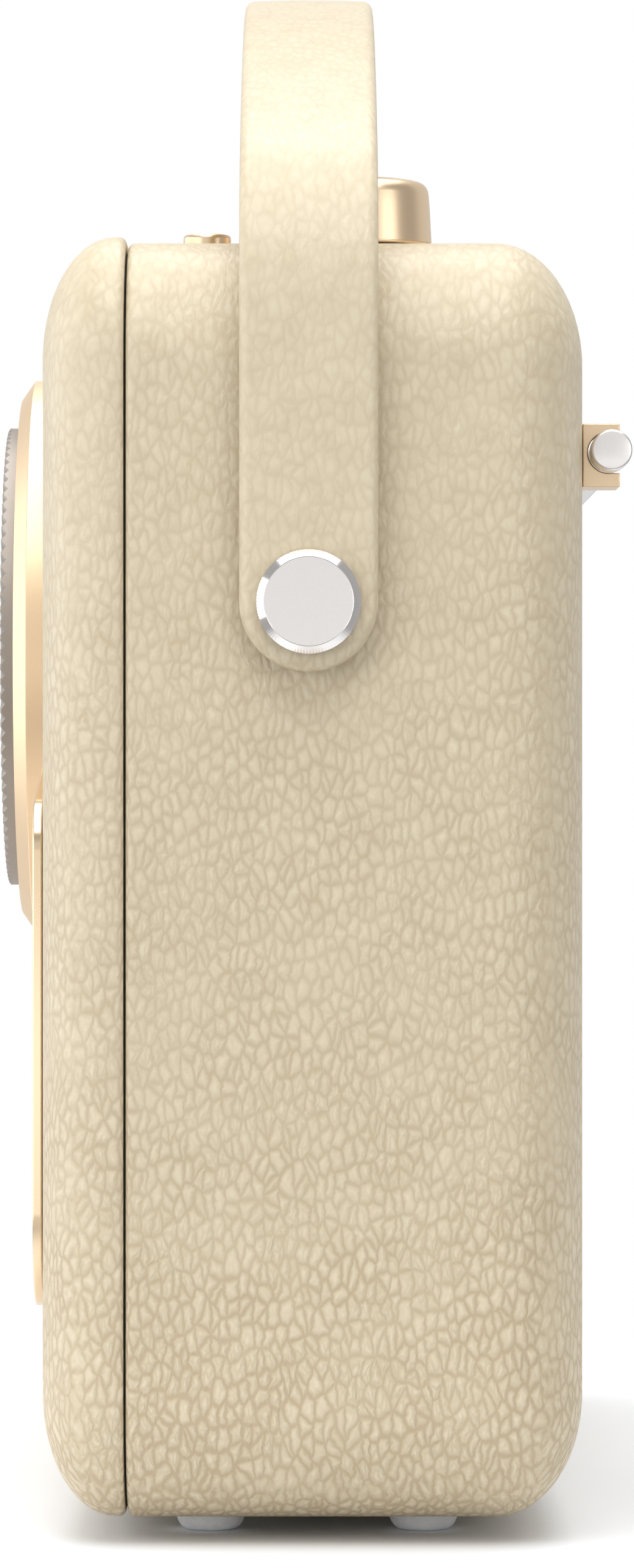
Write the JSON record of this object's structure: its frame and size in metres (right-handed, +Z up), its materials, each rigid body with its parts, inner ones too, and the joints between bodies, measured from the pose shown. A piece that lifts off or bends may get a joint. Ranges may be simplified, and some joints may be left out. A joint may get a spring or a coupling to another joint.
{
  "type": "tabletop radio",
  "caption": "Portable tabletop radio: cushioned leather-wrapped cabinet, gold grille and dial surround, turning front dial, top knobs and buttons, strap handle and telescopic aerial.",
  "frame": {"origin": "on the table under the middle of the radio, at the lowest point of the feet", "axes": "+Z up, the front with the dial faces -Y, and +X points right when the radio is seen from its front, along the handle's swing axis"},
  "size_m": [0.3032, 0.1058, 0.2608],
  "materials": {
    "leatherette": "cream grained leatherette, soft satin",
    "gold_metal": "satin champagne gold",
    "silver_metal": "satin silver",
    "aerial_chrome": "polished silver",
    "black_rubber": "matt black",
    "black_plastic": "matt black moulded",
    "grey_plastic": "satin light grey",
    "cream_plastic": "satin cream moulded",
    "fibreboard": "plain fibreboard",
    "lens_glass": "clear, dark tinted",
    "speaker_cone": "matt black pressed fibre",
    "plain_steel": "plain steel",
    "circuit_board": "green solder mask",
    "battery_wrap": "blue shrink wrap"
  },
  "bodies": {
    "root": {"aerial_base": "gold_metal", "aerial_clip": "gold_metal", "baffle_board": "fibreboard", "battery_box": "black_plastic", "battery_pack": "battery_wrap", "control_board": "circuit_board", "dial_bezel": "gold_metal", "dial_housing": "black_plastic", "display_lens": "lens_glass", "display_module": "black_plastic", "front_frame": "leatherette", "grille_mesh": "gold_metal", "grille_plate": "gold_metal", "headphone_socket": "plain_steel", "left_front_foot": "grey_plastic", "left_lower_screw": "plain_steel", "left_rear_foot": "grey_plastic", "left_spacer": "black_rubber", "left_speaker_basket": "plain_steel", "left_speaker_cone": "speaker_cone", "left_speaker_magnet": "plain_steel", "left_stud": "silver_metal", "left_upper_screw": "plain_steel", "main_board": "circuit_board", "power_socket": "black_plastic", "rear_shell": "leatherette", "right_front_foot": "grey_plastic", "right_lower_screw": "plain_steel", "right_rear_foot": "grey_plastic", "right_spacer": "black_rubber", "right_speaker_basket": "plain_steel", "right_speaker_cone": "speaker_cone", "right_speaker_magnet": "plain_steel", "right_stud": "silver_metal", "right_upper_screw": "plain_steel", "seam_gasket": "black_rubber", "socket_panel": "black_plastic", "tuner_can": "plain_steel", "tuning_encoder": "plain_steel", "volume_potentiometer": "plain_steel"},
    "handle": {"handle_strap": "leatherette"},
    "dial": {"dial_ring": "silver_metal"},
    "volume_control": {"volume_knob": "gold_metal", "volume_shaft": "plain_steel"},
    "tuning_control": {"tuning_knob": "gold_metal", "tuning_shaft": "plain_steel"},
    "battery_cover": {"battery_door": "cream_plastic"},
    "swivel": {"aerial_swivel": "aerial_chrome", "aerial_pin": "plain_steel"},
    "mast": {"aerial_tube_1": "aerial_chrome"},
    "section_2": {"aerial_tube_2": "aerial_chrome"},
    "section_3": {"aerial_tube_3": "aerial_chrome"},
    "section_4": {"aerial_rod": "aerial_chrome", "aerial_tip": "aerial_chrome"},
    "power_press": {"power_button": "gold_metal"},
    "band_press": {"band_button": "gold_metal"},
    "memory_press": {"memory_button": "gold_metal"},
    "light_press": {"light_button": "gold_metal"},
    "alarm_press": {"alarm_button": "gold_metal"},
    "mute_press": {"mute_button": "gold_metal"}
  },
  "joints": [
    {"name": "handle_swing", "type": "hinge", "parent": "root", "child": "handle", "pos_m": [0, 0.0008, 0.1503], "axis": [1, 0, 0], "range_deg": [-100, 100]},
    {"name": "dial_turn", "type": "hinge", "parent": "root", "child": "dial", "pos_m": [0, -0.049, 0.1445], "axis": [0, 1, 0], "continuous": true},
    {"name": "volume_turn", "type": "hinge", "parent": "root", "child": "volume_control", "pos_m": [-0.1075, 0.01, 0.215], "axis": [0, 0, 1], "range_deg": [-150, 150]},
    {"name": "tuning_turn", "type": "hinge", "parent": "root", "child": "tuning_control", "pos_m": [0.1075, 0.01, 0.215], "axis": [0, 0, 1], "continuous": true},
    {"name": "battery_door_hinge", "type": "hinge", "parent": "root", "child": "battery_cover", "pos_m": [-0.035, 0.0446, 0.0256], "axis": [-1, 0, 0], "range_deg": [0, 100]},
    {"name": "aerial_rotate", "type": "hinge", "parent": "root", "child": "swivel", "pos_m": [-0.1052, 0.0496, 0.1754], "axis": [1, 0, 0], "range_deg": [-30, 90]},
    {"name": "aerial_tilt", "type": "hinge", "parent": "swivel", "child": "mast", "pos_m": [-0.1052, 0.0496, 0.1754], "axis": [0, 0, 1], "range_deg": [0, 90]},
    {"name": "aerial_slide_2", "type": "slide", "parent": "mast", "child": "section_2", "axis": [1, 0, 0], "range_m": [0, 0.15]},
    {"name": "aerial_slide_3", "type": "slide", "parent": "section_2", "child": "section_3", "axis": [1, 0, 0], "range_m": [0, 0.15]},
    {"name": "aerial_slide_4", "type": "slide", "parent": "section_3", "child": "section_4", "axis": [1, 0, 0], "range_m": [0, 0.15]},
    {"name": "power_travel", "type": "slide", "parent": "root", "child": "power_press", "axis": [0, 0, 1], "range_m": [-0.0008, 0], "stiffness_N_per_m": 2500},
    {"name": "band_travel", "type": "slide", "parent": "root", "child": "band_press", "axis": [0, 0, 1], "range_m": [-0.0008, 0], "stiffness_N_per_m": 2500},
    {"name": "memory_travel", "type": "slide", "parent": "root", "child": "memory_press", "axis": [0, 0, 1], "range_m": [-0.0008, 0], "stiffness_N_per_m": 2500},
    {"name": "light_travel", "type": "slide", "parent": "root", "child": "light_press", "axis": [0, 0, 1], "range_m": [-0.0008, 0], "stiffness_N_per_m": 2500},
    {"name": "alarm_travel", "type": "slide", "parent": "root", "child": "alarm_press", "axis": [0, 0, 1], "range_m": [-0.0008, 0], "stiffness_N_per_m": 2500},
    {"name": "mute_travel", "type": "slide", "parent": "root", "child": "mute_press", "axis": [0, 0, 1], "range_m": [-0.0008, 0], "stiffness_N_per_m": 2500}
  ]
}
